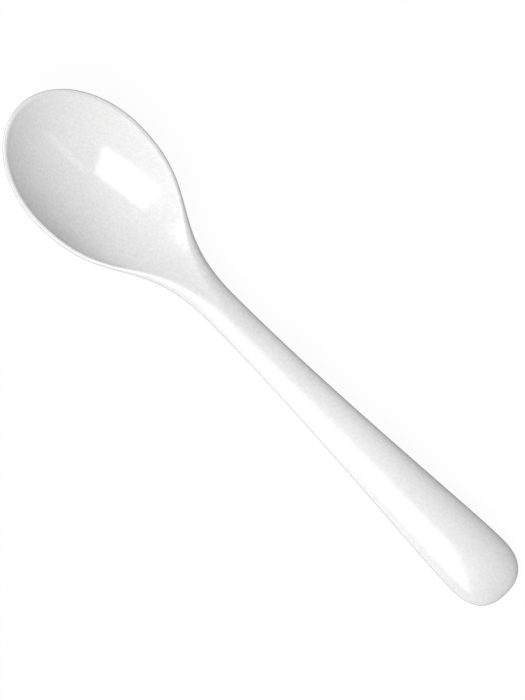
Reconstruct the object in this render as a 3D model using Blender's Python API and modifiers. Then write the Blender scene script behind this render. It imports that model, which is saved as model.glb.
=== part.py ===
"""Egg spoon: one white moulding, an oval bowl that runs through a slim neck into a crowned handle.

Metres. +X runs from the bowl's tip to the end of the handle, +Y across, +Z up. The spoon lies on z = 0,
on a small flat under the bowl and another under the end of the handle, and is centred on the origin.

One half is a loft: rays run from the middle line out to the outline, the upper skin goes out along each
ray to the edge and the lower skin comes back under it. A Mirror modifier makes the other half.
"""
import bmesh
import bpy
import numpy as np

# Plan view
LENGTH = 0.125
BOWL_WIDTH = 0.026
TIP_TO_WIDEST = 0.0178
NECK_WIDTH = 0.0067
TIP_TO_NECK = 0.0515
HANDLE_WIDTH = 0.0131
HANDLE_END_ROUND = 0.0074

# Bowl
BOWL_DEPTH = 0.00555
BOWL_WALL = 0.0017
RIM_WIDTH = 0.00075
RIM_HEIGHT = 0.0004
TIP_TO_HOLLOW_FADE = 0.0313
TIP_TO_HOLLOW_END = 0.0522

# Side view
TIP_LIFT = 0.008
TIP_TO_RIM_LOW = 0.04
SUMMIT_HEIGHT = 0.0068
TIP_TO_SUMMIT = 0.073
NECK_THICKNESS = 0.0042
NECK_CROWN = 0.0013
END_THICKNESS = 0.0041
END_CROWN = 0.0021
STANDING_FLAT = 0.0003

# Curve shapes, without a unit
END_SLOPE = 0.198
SHOULDER_PULLS = (0.495, 0.515)
FLARE_PULLS = (0.394, 0.124)
END_SQUARENESS = 2.43
RIM_SQUARENESS = 3.5
CROWN_SQUARENESS = 1.78
HOLLOW_TAIL = 2.5
HOLLOW_POWER = (0.785, 2.0)
UNDERSIDE_ROUND = (2.0, 0.85)
UNDERSIDE_SQUARE = (2.6, 0.385)

# Mesh density on one half, and the distance within which points are one
TIP_RAYS = 18
SHOULDER_RAYS = 18
FLARE_RAYS = 16
END_RAYS = 10
HOLLOW_RINGS = 7
RIM_RINGS = 4
UNDERSIDE_RINGS = 8
HANDLE_KNEE = 0.45
SAME_POINT = 1e-7

WHITE = (0.86, 0.86, 0.85, 1.0)
GLOSS = 0.15

TIP_TO_HANDLE_WIDEST = LENGTH - HANDLE_END_ROUND


def bezier(start, start_pull, end_pull, end, t):
    """Cubic Bezier through one coordinate of its four control points."""
    outer = (1 - t) ** 3 * start + t ** 3 * end
    inner = (1 - t) * start_pull + t * end_pull
    return outer + 3 * (1 - t) * t * inner


def ease(x, start, end):
    """0 before start, 1 after end, with a level S between them."""
    t = np.clip((x - start) / (end - start), 0, 1)
    return t * t * (3 - 2 * t)


def along(x, bowl, neck, handle):
    """A value that goes from the bowl's, at its widest, through the neck's to the handle's, at its widest."""
    to_neck = ease(x, TIP_TO_WIDEST, TIP_TO_NECK)
    to_handle = ease(x, TIP_TO_NECK, TIP_TO_HANDLE_WIDEST)
    return bowl + (neck - bowl) * to_neck + (handle - neck) * to_handle


def thickness(x):
    """Height of the material on the middle line."""
    return along(x, BOWL_WALL, NECK_THICKNESS, END_THICKNESS)


def tip_lift(x):
    """How far the rim curves up towards the tip from its lowest place."""
    return TIP_LIFT * np.clip(1 - x / TIP_TO_RIM_LOW, 0, 1) ** 2


def crest(x, rim_low):
    """Height of the rim and of the handle's ridge: a lifted tip, a rise to the summit, an easy fall to the end."""
    handle_end = END_THICKNESS - STANDING_FLAT
    rise = (SUMMIT_HEIGHT - rim_low) * ease(x, TIP_TO_RIM_LOW, TIP_TO_SUMMIT)
    drop = (SUMMIT_HEIGHT - handle_end) * ease(x, TIP_TO_SUMMIT, TIP_TO_HANDLE_WIDEST)
    run = TIP_TO_HANDLE_WIDEST - TIP_TO_SUMMIT
    t = np.clip((x - TIP_TO_SUMMIT) / run, 0, 1)
    past_widest = np.clip((x - TIP_TO_HANDLE_WIDEST) / HANDLE_END_ROUND, 0, 1)
    tilt = END_SLOPE * (HANDLE_END_ROUND * past_widest * (1 - past_widest / 2) - run * t * t * (1 - t))
    return rim_low + tip_lift(x) + rise - drop - tilt


def curve_between(start, end, pulls, rays):
    """Outline from start to end, level at both, as x and y; each pull is a share of the run in x."""
    t = np.linspace(0, 1, rays + 1)[:-1]
    run = end[0] - start[0]
    x = bezier(start[0], start[0] + pulls[0] * run, end[0] - pulls[1] * run, end[0], t)
    y = bezier(start[1], start[1], end[1], end[1], t)
    return x, y


def half_outline():
    """Rays from tip to end: x on the middle line, and the outline's x and y."""
    widest = (TIP_TO_WIDEST, BOWL_WIDTH / 2)
    neck = (TIP_TO_NECK, NECK_WIDTH / 2)
    handle = (TIP_TO_HANDLE_WIDEST, HANDLE_WIDTH / 2)
    turn = np.linspace(0, np.pi / 2, TIP_RAYS + 1)[:-1]
    tip_x = TIP_TO_WIDEST * (1 - np.cos(turn))
    tip_y = BOWL_WIDTH / 2 * np.sin(turn)
    shoulder_x, shoulder_y = curve_between(widest, neck, SHOULDER_PULLS, SHOULDER_RAYS)
    flare_x, flare_y = curve_between(neck, handle, FLARE_PULLS, FLARE_RAYS)
    turn = np.linspace(0, np.pi / 2, END_RAYS + 1)
    end_x = TIP_TO_HANDLE_WIDEST + HANDLE_END_ROUND * np.sin(turn) ** (2 / END_SQUARENESS)
    end_y = HANDLE_WIDTH / 2 * np.clip(np.cos(turn), 0, 1) ** (2 / END_SQUARENESS)
    end_y[-1] = 0
    tip_middle = np.full(TIP_RAYS, TIP_TO_WIDEST)
    end_middle = np.full(END_RAYS + 1, TIP_TO_HANDLE_WIDEST)
    middle_x = np.concatenate([tip_middle, shoulder_x, flare_x, end_middle])
    outline_x = np.concatenate([tip_x, shoulder_x, flare_x, end_x])
    outline_y = np.concatenate([tip_y, shoulder_y, flare_y, end_y])
    return middle_x, outline_x, outline_y


def half_skin():
    """Points of one half, rays by rings: out over the top, round the edge and back underneath."""
    middle_x, outline_x, outline_y = (values[:, None] for values in half_outline())
    ray = np.hypot(outline_x - middle_x, outline_y)

    # How far the hollow reaches along each ray, and how round it is there
    fade = (middle_x - TIP_TO_HOLLOW_FADE) / (TIP_TO_HOLLOW_END - TIP_TO_HOLLOW_FADE)
    fade = np.cos(np.pi / 2 * np.clip(fade, 0, 1))
    hollow = np.maximum((1 - RIM_WIDTH / ray) * fade, SAME_POINT)
    half_width = np.where(outline_x < TIP_TO_WIDEST, BOWL_WIDTH / 2, outline_y)
    reach = fade * (half_width - RIM_WIDTH) / (BOWL_WIDTH / 2 - RIM_WIDTH)
    depth = BOWL_DEPTH * np.clip(reach, 0, 1) ** HOLLOW_TAIL
    power = HOLLOW_POWER[1] + (HOLLOW_POWER[0] - HOLLOW_POWER[1]) * fade
    rim_low = np.max(depth + thickness(middle_x) - tip_lift(middle_x)) - STANDING_FLAT

    # Upper skin: a dished hollow inside, then a round over the rim or the handle's crown
    knee = np.maximum(hollow, HANDLE_KNEE)
    inside = np.linspace(0, 1, HOLLOW_RINGS + 1)
    outside = np.sin(np.linspace(0, np.pi / 2, RIM_RINGS + 1))[1:]
    out = np.concatenate([knee * inside, knee + (1 - knee) * outside], axis=1)
    x = middle_x + (outline_x - middle_x) * out
    y = outline_y * out
    crown = along(x, RIM_HEIGHT, NECK_CROWN, END_CROWN)
    dish = np.clip(1 - (out / hollow) ** 2, 0, 1)
    round_over = np.clip((out - hollow) / (1 - hollow), 0, 1)
    square = along(middle_x, RIM_SQUARENESS, CROWN_SQUARENESS, CROWN_SQUARENESS)
    fall = 1 - (1 - round_over ** square) ** (1 / square)
    z = crest(x, rim_low) - depth * dish ** power - crown * fall

    # Lower skin: from the edge back to the middle line, cut flat where the spoon stands
    back = np.sin(np.linspace(np.pi / 2, 0, UNDERSIDE_RINGS + 1))[1:]
    back = np.broadcast_to(back, (len(ray), UNDERSIDE_RINGS))
    back_x = middle_x + (outline_x - middle_x) * back
    back_y = outline_y * back
    edge = crest(back_x, rim_low) - along(back_x, RIM_HEIGHT, NECK_CROWN, END_CROWN)
    belly = depth + thickness(middle_x) - along(middle_x, RIM_HEIGHT, NECK_CROWN, END_CROWN)
    bulge = along(middle_x, UNDERSIDE_ROUND[0], UNDERSIDE_SQUARE[0], UNDERSIDE_SQUARE[0])
    fullness = along(middle_x, UNDERSIDE_ROUND[1], UNDERSIDE_SQUARE[1], UNDERSIDE_SQUARE[1])
    back_z = np.maximum(edge - belly * (1 - back ** bulge) ** fullness, 0)

    points = np.stack([np.hstack([x, back_x]), np.hstack([y, back_y]), np.hstack([z, back_z])], axis=2)
    points[:, :, 0] -= LENGTH / 2
    return points


def spoon_mesh():
    """Half of the moulding as quads between neighbouring rays, open at the middle plane."""
    points = half_skin()
    shell = bmesh.new()
    rays = [[shell.verts.new(point) for point in ray] for ray in points]
    for near, far in zip(rays, rays[1:]):
        for ring in range(len(near) - 1):
            shell.faces.new((near[ring], far[ring], far[ring + 1], near[ring + 1]))
    bmesh.ops.remove_doubles(shell, verts=shell.verts, dist=SAME_POINT)
    mesh = bpy.data.meshes.new("spoon")
    shell.to_mesh(mesh)
    shell.free()
    mesh.shade_smooth()
    return mesh


def white_plastic():
    """Glossy white moulding plastic."""
    material = bpy.data.materials.new("white_plastic")
    material.use_nodes = True
    shader = material.node_tree.nodes["Principled BSDF"]
    shader.inputs["Base Color"].default_value = WHITE
    shader.inputs["Roughness"].default_value = GLOSS
    shader.inputs["Metallic"].default_value = 0.0
    return material


def build():
    for existing in list(bpy.data.objects):
        bpy.data.objects.remove(existing, do_unlink=True)
    collection = bpy.data.collections.new("egg_spoon")
    bpy.context.scene.collection.children.link(collection)
    spoon = bpy.data.objects.new("spoon", spoon_mesh())
    spoon.data.materials.append(white_plastic())
    collection.objects.link(spoon)
    mirror = spoon.modifiers.new("other_half", "MIRROR")
    mirror.use_axis = (False, True, False)
    mirror.merge_threshold = SAME_POINT


build()
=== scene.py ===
"""Looks of the egg spoon: its fine surface and finish, the floor it lies on, the lamps and the camera.

Metres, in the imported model's frame: +X runs from the bowl's tip to the end of the handle, +Z is up,
and the spoon lies on z = 0.
"""

import bmesh
import bpy
import numpy as np
from mathutils import Matrix, Vector


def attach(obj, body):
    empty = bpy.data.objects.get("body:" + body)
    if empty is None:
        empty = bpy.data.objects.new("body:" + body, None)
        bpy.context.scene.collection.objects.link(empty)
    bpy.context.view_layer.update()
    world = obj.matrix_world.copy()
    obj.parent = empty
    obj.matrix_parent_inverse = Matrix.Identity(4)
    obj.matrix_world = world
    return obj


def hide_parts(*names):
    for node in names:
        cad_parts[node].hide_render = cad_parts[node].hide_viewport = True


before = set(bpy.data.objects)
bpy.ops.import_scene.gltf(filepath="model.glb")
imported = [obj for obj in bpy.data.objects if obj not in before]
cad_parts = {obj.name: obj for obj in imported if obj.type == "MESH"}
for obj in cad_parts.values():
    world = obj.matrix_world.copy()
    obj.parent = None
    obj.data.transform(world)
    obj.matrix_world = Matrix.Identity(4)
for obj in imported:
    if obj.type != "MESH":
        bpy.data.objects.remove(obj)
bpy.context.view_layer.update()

# Spoon: bowl, neck and handle moulded in one shot of hard white plastic, with painted shade, a grey line
# round the edge where it turns down. Nothing is fixed to it. Its skin is glossy, finely grained and a little
# wavy from the mould, scuffed by washing and duller where it is held, with painted sheen along the middle of
# the handle.

LENGTH = 0.125
BOWL_WIDTH = 0.026
TIP_TO_WIDEST = 0.0178
NECK_WIDTH = 0.0067
TIP_TO_NECK = 0.0515
HANDLE_WIDTH = 0.0131
HANDLE_END_ROUND = 0.0074
TIP_TO_HANDLE_WIDEST = LENGTH - HANDLE_END_ROUND
SHOULDER_PULLS = (0.495, 0.515)
FLARE_PULLS = (0.394, 0.124)
END_SQUARENESS = 2.43

BOWL_DEPTH = 0.00555
BOWL_WALL = 0.0017
RIM_WIDTH = 0.00075
RIM_HEIGHT = 0.0004
TIP_TO_HOLLOW_FADE = 0.0313
TIP_TO_HOLLOW_END = 0.0522
RIM_SQUARENESS = 3.5
CROWN_SQUARENESS = 1.78
HOLLOW_TAIL = 2.5
HOLLOW_POWER = (0.785, 2.0)

TIP_LIFT = 0.008
TIP_TO_RIM_LOW = 0.04
SUMMIT_HEIGHT = 0.0068
TIP_TO_SUMMIT = 0.073
NECK_THICKNESS = 0.0042
NECK_CROWN = 0.0013
END_THICKNESS = 0.0041
END_CROWN = 0.0021
END_SLOPE = 0.198
STANDING_FLAT = 0.0003
UNDERSIDE_ROUND = (2.0, 0.85)
UNDERSIDE_SQUARE = (2.6, 0.385)
# How fast the nearness to the edge fades inwards: it sets the width of the painted edge shade
EDGE_SHADE_FADE = 0.0003

TIP_RAYS = 90
SHOULDER_RAYS = 90
FLARE_RAYS = 110
END_RAYS = 50
HOLLOW_RINGS = 50
RIM_RINGS = 22
UNDERSIDE_RINGS = 40
HANDLE_KNEE = 0.45
SAME_POINT = 1e-7


def ease(x, start, end):
    """0 before start, 1 after end, and the cubic 3tt - 2ttt between them."""
    t = np.clip((x - start) / (end - start), 0, 1)
    return t * t * (3 - 2 * t)


def along(x, bowl, neck, handle):
    """The bowl's value eased into the neck's, then eased into the handle's at its widest."""
    to_neck = ease(x, TIP_TO_WIDEST, TIP_TO_NECK)
    to_handle = ease(x, TIP_TO_NECK, TIP_TO_HANDLE_WIDEST)
    return bowl + (neck - bowl) * to_neck + (handle - neck) * to_handle


def thickness(x):
    """Material on the middle line: the bowl's wall, then the neck's and the handle's height."""
    return along(x, BOWL_WALL, NECK_THICKNESS, END_THICKNESS)


def tip_lift(x):
    """A parabola that starts level where the rim is lowest and reaches its full height at the tip."""
    return TIP_LIFT * np.clip(1 - x / TIP_TO_RIM_LOW, 0, 1) ** 2


def crest(x, rim_low):
    """Rim and ridge seen from the side: the lowest rim, plus the tip's lift and an eased rise to the summit,
    less an eased fall that leaves the handle's widest place on a slope and levels out at its end."""
    handle_end = END_THICKNESS - STANDING_FLAT
    rise = (SUMMIT_HEIGHT - rim_low) * ease(x, TIP_TO_RIM_LOW, TIP_TO_SUMMIT)
    drop = (SUMMIT_HEIGHT - handle_end) * ease(x, TIP_TO_SUMMIT, TIP_TO_HANDLE_WIDEST)
    run = TIP_TO_HANDLE_WIDEST - TIP_TO_SUMMIT
    t = np.clip((x - TIP_TO_SUMMIT) / run, 0, 1)
    past_widest = np.clip((x - TIP_TO_HANDLE_WIDEST) / HANDLE_END_ROUND, 0, 1)
    tilt = END_SLOPE * (HANDLE_END_ROUND * past_widest * (1 - past_widest / 2) - run * t * t * (1 - t))
    return rim_low + tip_lift(x) + rise - drop - tilt


def sweep(start, end, pulls, rays):
    """Cubic Bezier between two points that is level at both; each pull is a share of the run in x."""
    t = np.linspace(0, 1, rays + 1)[:-1]
    run = end[0] - start[0]
    pulled_x = (1 - t) * (start[0] + pulls[0] * run) + t * (end[0] - pulls[1] * run)
    pulled_y = (1 - t) * start[1] + t * end[1]
    x = (1 - t) ** 3 * start[0] + t ** 3 * end[0] + 3 * (1 - t) * t * pulled_x
    y = (1 - t) ** 3 * start[1] + t ** 3 * end[1] + 3 * (1 - t) * t * pulled_y
    return x, y


def half_outline():
    """Half the plan as rays from the middle line: a quarter ellipse round the tip, two Beziers along the side
    and a quarter superellipse round the end. Gives each ray's x on the middle line and its outline point."""
    widest = (TIP_TO_WIDEST, BOWL_WIDTH / 2)
    neck = (TIP_TO_NECK, NECK_WIDTH / 2)
    handle = (TIP_TO_HANDLE_WIDEST, HANDLE_WIDTH / 2)
    turn = np.linspace(0, np.pi / 2, TIP_RAYS + 1)[:-1]
    tip_x = TIP_TO_WIDEST * (1 - np.cos(turn))
    tip_y = BOWL_WIDTH / 2 * np.sin(turn)
    shoulder_x, shoulder_y = sweep(widest, neck, SHOULDER_PULLS, SHOULDER_RAYS)
    flare_x, flare_y = sweep(neck, handle, FLARE_PULLS, FLARE_RAYS)
    turn = np.linspace(0, np.pi / 2, END_RAYS + 1)
    end_x = TIP_TO_HANDLE_WIDEST + HANDLE_END_ROUND * np.sin(turn) ** (2 / END_SQUARENESS)
    end_y = HANDLE_WIDTH / 2 * np.clip(np.cos(turn), 0, 1) ** (2 / END_SQUARENESS)
    end_y[-1] = 0
    tip_middle = np.full(TIP_RAYS, TIP_TO_WIDEST)
    end_middle = np.full(END_RAYS + 1, TIP_TO_HANDLE_WIDEST)
    middle_x = np.concatenate([tip_middle, shoulder_x, flare_x, end_middle])
    outline_x = np.concatenate([tip_x, shoulder_x, flare_x, end_x])
    outline_y = np.concatenate([tip_y, shoulder_y, flare_y, end_y])
    return middle_x, outline_x, outline_y


def half_skin():
    """Half the surface, rays by rings, from the middle line over the top to the edge and back underneath.

    On top it is the crest, less the hollow's dish, (1 - share squared) to a power, less a superellipse that
    rounds the edge. Underneath it is the edge's height less a belly, (1 - share to a power) to a power, cut
    flat at the table. Also gives each point's nearness to the edge, an exponential that is 1 on the edge.
    """
    middle_x, outline_x, outline_y = (values[:, None] for values in half_outline())
    ray = np.hypot(outline_x - middle_x, outline_y)

    # How far the hollow reaches along each ray, and how deep and how round it is there
    fade = (middle_x - TIP_TO_HOLLOW_FADE) / (TIP_TO_HOLLOW_END - TIP_TO_HOLLOW_FADE)
    fade = np.cos(np.pi / 2 * np.clip(fade, 0, 1))
    hollow = np.maximum((1 - RIM_WIDTH / ray) * fade, SAME_POINT)
    half_width = np.where(outline_x < TIP_TO_WIDEST, BOWL_WIDTH / 2, outline_y)
    reach = fade * (half_width - RIM_WIDTH) / (BOWL_WIDTH / 2 - RIM_WIDTH)
    depth = BOWL_DEPTH * np.clip(reach, 0, 1) ** HOLLOW_TAIL
    power = HOLLOW_POWER[1] + (HOLLOW_POWER[0] - HOLLOW_POWER[1]) * fade
    rim_low = np.max(depth + thickness(middle_x) - tip_lift(middle_x)) - STANDING_FLAT

    # Upper skin, out to the edge
    knee = np.maximum(hollow, HANDLE_KNEE)
    inside = np.linspace(0, 1, HOLLOW_RINGS + 1)
    outside = np.sin(np.linspace(0, np.pi / 2, RIM_RINGS + 1))[1:]
    out = np.concatenate([knee * inside, knee + (1 - knee) * outside], axis=1)
    x = middle_x + (outline_x - middle_x) * out
    y = outline_y * out
    crown = along(x, RIM_HEIGHT, NECK_CROWN, END_CROWN)
    dish = np.clip(1 - (out / hollow) ** 2, 0, 1)
    round_over = np.clip((out - hollow) / (1 - hollow), 0, 1)
    square = along(middle_x, RIM_SQUARENESS, CROWN_SQUARENESS, CROWN_SQUARENESS)
    fall = 1 - (1 - round_over ** square) ** (1 / square)
    z = crest(x, rim_low) - depth * dish ** power - crown * fall

    # Lower skin, back to the middle line
    back = np.sin(np.linspace(np.pi / 2, 0, UNDERSIDE_RINGS + 1))[1:]
    back = np.broadcast_to(back, (len(ray), UNDERSIDE_RINGS))
    back_x = middle_x + (outline_x - middle_x) * back
    back_y = outline_y * back
    edge_height = crest(back_x, rim_low) - along(back_x, RIM_HEIGHT, NECK_CROWN, END_CROWN)
    belly = depth + thickness(middle_x) - along(middle_x, RIM_HEIGHT, NECK_CROWN, END_CROWN)
    bulge = along(middle_x, UNDERSIDE_ROUND[0], UNDERSIDE_SQUARE[0], UNDERSIDE_SQUARE[0])
    fullness = along(middle_x, UNDERSIDE_ROUND[1], UNDERSIDE_SQUARE[1], UNDERSIDE_SQUARE[1])
    back_z = np.maximum(edge_height - belly * (1 - back ** bulge) ** fullness, 0)

    points = np.stack([np.hstack([x, back_x]), np.hstack([y, back_y]), np.hstack([z, back_z])], axis=2)
    points[:, :, 0] -= LENGTH / 2
    to_edge = (1 - np.hstack([out, back])) * ray
    return points, np.exp(-to_edge / EDGE_SHADE_FADE)


def spoon_mesh():
    """The half skin and its mirror image as one closed loop of rings on each ray, joined by quads, with each
    point's nearness to the edge as an attribute."""
    half, near_edge = half_skin()
    mirrored = half[:, ::-1] * (1, -1, 1)
    loop = np.concatenate([half, mirrored], axis=1)
    near_edges = np.concatenate([near_edge, near_edge[:, ::-1]], axis=1)
    rays, rings = loop.shape[:2]
    index = np.arange(rays * rings).reshape(rays, rings)
    turned = np.roll(index, -1, axis=1)
    quads = np.stack([index[:-1], index[1:], turned[1:], turned[:-1]], axis=2).reshape(-1, 4)
    mesh = bpy.data.meshes.new("spoon_moulding")
    mesh.from_pydata(loop.reshape(-1, 3), [], quads)
    mesh.attributes.new("edge", "FLOAT", "POINT").data.foreach_set("value", near_edges.ravel())
    shell = bmesh.new()
    shell.from_mesh(mesh)
    bmesh.ops.remove_doubles(shell, verts=shell.verts, dist=SAME_POINT)
    bmesh.ops.recalc_face_normals(shell, faces=shell.faces)
    shell.to_mesh(mesh)
    shell.free()
    mesh.shade_smooth()
    return mesh


class Field:
    """A value over a surface: it wraps a shader socket, and operators on it add Math nodes."""

    def __init__(self, tree, socket=None):
        self.tree = tree
        self.socket = socket

    def node(self, kind, settings, sockets, result=0):
        """Add a node: first its settings, then its sockets' values or links. Gives one of its results."""
        added = self.tree.nodes.new("ShaderNode" + kind)
        for name, value in settings.items():
            setattr(added, name, value)
        for name, value in sockets.items():
            if isinstance(value, Field):
                self.tree.links.new(value.socket, added.inputs[name])
            else:
                added.inputs[name].default_value = value
        return Field(self.tree, added.outputs[result])

    def math(self, operation, first, second):
        return self.node("Math", {"operation": operation}, {0: first, 1: second})

    def __add__(self, other):
        return self.math("ADD", self, other)

    def __radd__(self, other):
        return self.math("ADD", other, self)

    def __sub__(self, other):
        return self.math("SUBTRACT", self, other)

    def __rsub__(self, other):
        return self.math("SUBTRACT", other, self)

    def __mul__(self, other):
        return self.math("MULTIPLY", self, other)

    def __rmul__(self, other):
        return self.math("MULTIPLY", other, self)

    def above(self, low, high):
        """0 up to low, 1 from high, eased between them."""
        settings = {"interpolation_type": "SMOOTHSTEP"}
        return self.node("MapRange", settings, {"Value": self, "From Min": low, "From Max": high})

    def between(self, rise, fall):
        """Eased from 0 to 1 over the span of rise, and back to 0 over the span of fall."""
        return self.above(*rise) * (1.0 - self.above(*fall))

    def near_zero(self, reach):
        """1 where the value is 0, eased on its square to 0 where it is reach or more away."""
        return 1.0 - (self * self).above(0.0, reach ** 2)


# Whites of the plastic, the grey of the painted edge shade, and what each mark adds on the way from darkest
# to lightest
DARKEST_WHITE = (0.71, 0.71, 0.708, 1.0)
LIGHTEST_WHITE = (0.96, 0.96, 0.958, 1.0)
PAINTED_EDGE_SHADE_GREY = (0.56, 0.56, 0.555, 1.0)
CLOUD_SHARE = 0.1
GRAIN_SHARE = 0.9
MIDDLE_STREAK_SHARE = 0.2
# Painted sheen: how much lighter the middle of the handle is made, for the light that falls on its ridge
PAINTED_SHEEN_SHARE = 0.33

# Roughness of the clean skin and what is added to it, and heights of the bumps
CLEAN_ROUGHNESS = 0.09
SMEAR_ROUGHNESS = 0.05
SCUFF_ROUGHNESS = 0.02
HELD_ROUGHNESS = 0.12
WAVE_HEIGHT = 2.0e-5
GRAIN_HEIGHT = 3.5e-6
PLASTIC_IOR = 1.5

# How fine each pattern is, and the spans over which a noise or the nearness to the edge fades in
CLOUDS_PER_METRE = 70.0
GRAINS_PER_METRE = (1700.0, 2400.0, 2400.0)
SCUFFS_PER_METRE = (60.0, 2600.0, 2600.0)
SMEARS_PER_METRE = 160.0
WAVES_PER_METRE = 130.0
CLOUD_SPAN = (0.35, 0.65)
SCUFF_SPAN = (0.62, 0.74)
EDGE_SHADE_SPAN = (0.5, 0.8)

# Places along X where the lighter streak in the bowl, the painted sheen on the handle and the held part fade
# in and out
MIDDLE_STREAK_FROM = (-0.057, -0.053)
MIDDLE_STREAK_TO = (-0.048, -0.044)
MIDDLE_STREAK_HALF_WIDTH = 0.0009
PAINTED_SHEEN_FROM = (-0.015, 0.018)
PAINTED_SHEEN_TO = (0.054, 0.0625)
PAINTED_SHEEN_HALF_WIDTH = 0.0055
HELD_FROM = (-0.034, -0.022)
HELD_TO = (0.022, 0.05)


def glossy_white():
    """White moulding plastic: faint clouds, fine lengthwise grain and a lighter streak on the middle line
    behind the tip; painted sheen along the middle of the handle and painted shade, a grey line round the
    edge; smears, washing scuffs and a dull part where it is held; waves from the mould."""
    material = bpy.data.materials.new("glossy_white")
    material.use_nodes = True
    tree = material.node_tree
    shader = tree.nodes["Principled BSDF"]
    field = Field(tree)
    place = field.node("TexCoord", {}, {}, "Object")
    run = field.node("SeparateXYZ", {}, {"Vector": place}, "X")
    across = field.node("SeparateXYZ", {}, {"Vector": place}, "Y")
    near_edge = field.node("Attribute", {"attribute_name": "edge"}, {}, "Fac")

    clouds = field.node("TexNoise", {}, {"Vector": place, "Scale": CLOUDS_PER_METRE, "Detail": 2.0})
    lengthwise = field.node("VectorMath", {"operation": "MULTIPLY"}, {0: place, 1: GRAINS_PER_METRE})
    grain = field.node("TexNoise", {}, {"Vector": lengthwise, "Scale": 1.0, "Detail": 2.0})
    # A thin lighter streak on the middle line of the bowl, from about 6 to 18 mm behind the tip
    middle_streak = across.near_zero(MIDDLE_STREAK_HALF_WIDTH) * run.between(MIDDLE_STREAK_FROM, MIDDLE_STREAK_TO)
    # Painted sheen: the middle of the handle is made lighter, for the light that falls on its ridge
    painted_sheen = across.near_zero(PAINTED_SHEEN_HALF_WIDTH) * run.between(PAINTED_SHEEN_FROM, PAINTED_SHEEN_TO)
    mottle = CLOUD_SHARE * clouds.above(*CLOUD_SPAN) + GRAIN_SHARE * grain
    tone_and_sheen = mottle + MIDDLE_STREAK_SHARE * middle_streak + PAINTED_SHEEN_SHARE * painted_sheen
    body_sockets = {"Factor": tone_and_sheen, "A": DARKEST_WHITE, "B": LIGHTEST_WHITE}
    body = field.node("Mix", {"data_type": "RGBA"}, body_sockets, "Result")
    # Painted shade: the skin turns grey where the edge bends down, in place of the shade that falls there
    painted_edge_shade = near_edge.above(*EDGE_SHADE_SPAN)
    colour_sockets = {"Factor": painted_edge_shade, "A": body, "B": PAINTED_EDGE_SHADE_GREY}
    colour = field.node("Mix", {"data_type": "RGBA"}, colour_sockets, "Result")

    stretched = field.node("VectorMath", {"operation": "MULTIPLY"}, {0: place, 1: SCUFFS_PER_METRE})
    scratches = field.node("TexNoise", {}, {"Vector": stretched, "Scale": 1.0, "Detail": 1.0})
    scuffs = scratches.above(*SCUFF_SPAN)
    smears = field.node("TexNoise", {}, {"Vector": place, "Scale": SMEARS_PER_METRE, "Detail": 4.0})
    held = run.between(HELD_FROM, HELD_TO)
    washed = CLEAN_ROUGHNESS + SMEAR_ROUGHNESS * smears + SCUFF_ROUGHNESS * scuffs
    roughness = washed + HELD_ROUGHNESS * held

    waves = field.node("TexNoise", {}, {"Vector": place, "Scale": WAVES_PER_METRE, "Detail": 1.0})
    height = WAVE_HEIGHT * waves + GRAIN_HEIGHT * grain
    normal = field.node("Bump", {}, {"Strength": 1.0, "Distance": 1.0, "Height": height})

    tree.links.new(colour.socket, shader.inputs["Base Color"])
    tree.links.new(roughness.socket, shader.inputs["Roughness"])
    tree.links.new(normal.socket, shader.inputs["Normal"])
    shader.inputs["IOR"].default_value = PLASTIC_IOR
    return material


spoon = bpy.data.objects.new("spoon_moulding", spoon_mesh())
bpy.context.scene.collection.objects.link(spoon)
spoon.data.materials.append(glossy_white())
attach(spoon, "root")
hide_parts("spoon")

# Floor: a wide sheet of white paper that the spoon lies on. The camera and mirrors see it nearly plain white,
# with a share of its real shading, so that the spoon's shadow stays. Other light bounces off it as off grey.

FLOOR_HALF_SIZE = 3.0
FLOOR_BOUNCE = (0.5, 0.5, 0.5, 1.0)
FLOOR_WHITE = (0.95, 0.95, 0.95, 1.0)
PLAIN_WHITE = (1.0, 1.0, 1.0, 1.0)
FLOOR_GLOW_SHARE = 0.96


def paper_floor():
    """Diffuse white mixed with a plain white glow for camera, glossy and transmission rays, and diffuse grey
    for all others."""
    material = bpy.data.materials.new("white_paper")
    material.use_nodes = True
    tree = material.node_tree
    tree.nodes.remove(tree.nodes["Principled BSDF"])
    field = Field(tree)
    seen = field.node("LightPath", {}, {}, "Is Camera Ray")
    mirrored = field.node("LightPath", {}, {}, "Is Glossy Ray")
    through = field.node("LightPath", {}, {}, "Is Transmission Ray")
    bounce = field.node("BsdfDiffuse", {}, {"Color": FLOOR_BOUNCE})
    paper = field.node("BsdfDiffuse", {}, {"Color": FLOOR_WHITE})
    glow = field.node("Emission", {}, {"Color": PLAIN_WHITE, "Strength": 1.0})
    backdrop = field.node("MixShader", {}, {0: FLOOR_GLOW_SHARE, 1: paper, 2: glow})
    shown = field.node("MixShader", {}, {0: seen + mirrored + through, 1: bounce, 2: backdrop})
    tree.links.new(shown.socket, tree.nodes["Material Output"].inputs["Surface"])
    return material


corners = np.array([(-1, -1, 0), (1, -1, 0), (1, 1, 0), (-1, 1, 0)]) * FLOOR_HALF_SIZE
floor_mesh = bpy.data.meshes.new("floor")
floor_mesh.from_pydata(corners, [], [(0, 1, 2, 3)])
floor_mesh.materials.append(paper_floor())
floor = bpy.data.objects.new("floor", floor_mesh)
bpy.context.scene.collection.objects.link(floor)

# Light: a softbox almost overhead, which the bowl and the handle mirror, a low window on the side of the
# bowl's tip, and dim light from all round. A lamp's place is a direction from the spoon and a distance.

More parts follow.
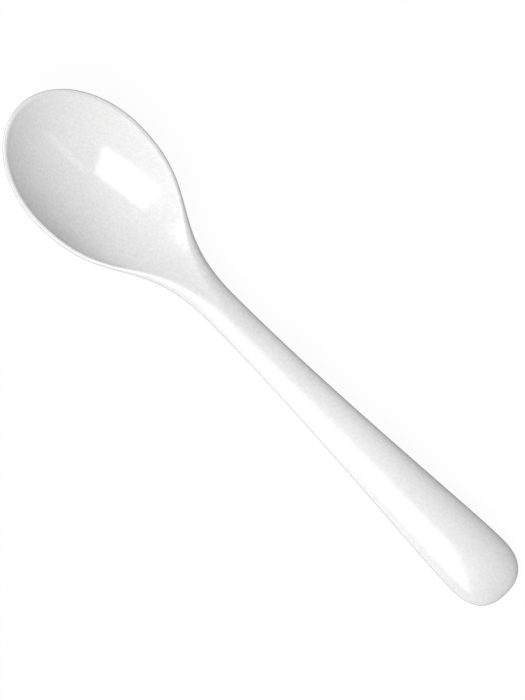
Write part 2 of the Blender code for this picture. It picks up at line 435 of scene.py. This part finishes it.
SOFTBOX_TOWARDS = Vector((-0.0213, -0.5563, 1.0))
SOFTBOX_ACROSS = Vector((0.9636, 0.2672, -0.081))
SOFTBOX_DISTANCE = 1.0
SOFTBOX_SIZE = (1.0, 0.655)
SOFTBOX_RADIANCE = 4.6
WINDOW_TOWARDS = Vector((-0.819, -0.435, 0.375))
WINDOW_ACROSS = Vector((0, 0, 1)).cross(WINDOW_TOWARDS)
WINDOW_DISTANCE = 1.2
WINDOW_SIZE = (1.0, 0.5)
WINDOW_RADIANCE = 1.7
ALL_ROUND = 0.25


def lamp(name, towards, across, distance, size, radiance):
    """Rectangular area lamp that faces the spoon, with its first side along a given direction. Its power is
    radiance times pi times area."""
    light = bpy.data.lights.new(name, "AREA")
    light.shape = "RECTANGLE"
    light.size, light.size_y = size
    light.energy = radiance * np.pi * size[0] * size[1]
    back = towards.normalized()
    side = (across - across.dot(back) * back).normalized()
    turn = Matrix((side, back.cross(side), back)).transposed().to_4x4()
    holder = bpy.data.objects.new(name, light)
    holder.matrix_world = Matrix.Translation(back * distance) @ turn
    bpy.context.scene.collection.objects.link(holder)


lamp("softbox", SOFTBOX_TOWARDS, SOFTBOX_ACROSS, SOFTBOX_DISTANCE, SOFTBOX_SIZE, SOFTBOX_RADIANCE)
lamp("window", WINDOW_TOWARDS, WINDOW_ACROSS, WINDOW_DISTANCE, WINDOW_SIZE, WINDOW_RADIANCE)

world = bpy.data.worlds.new("studio")
world.use_nodes = True
sky = world.node_tree.nodes["Background"]
sky.inputs["Color"].default_value = PLAIN_WHITE
sky.inputs["Strength"].default_value = ALL_ROUND
bpy.context.scene.world = world

# Camera: straight above, far off through a long lens, turned so that the spoon lies from the upper left
# to the lower right of an upright picture of 525 by 700 pixels.

CAMERA_TURN = np.radians(45.07)
CAMERA_HEIGHT = 3.0
CAMERA_PLACE = (-0.000065, -0.00008)
PICTURE_HEIGHT = 0.12717
SENSOR_HEIGHT = 36.0

lens = bpy.data.cameras.new("camera")
lens.sensor_fit = "VERTICAL"
lens.sensor_height = SENSOR_HEIGHT
lens.lens = SENSOR_HEIGHT * CAMERA_HEIGHT / PICTURE_HEIGHT
camera = bpy.data.objects.new("camera", lens)
camera.location = (*CAMERA_PLACE, CAMERA_HEIGHT)
camera.rotation_euler = (0.0, 0.0, CAMERA_TURN)
bpy.context.scene.collection.objects.link(camera)
bpy.context.scene.camera = camera
bpy.context.scene.view_settings.view_transform = "Standard"
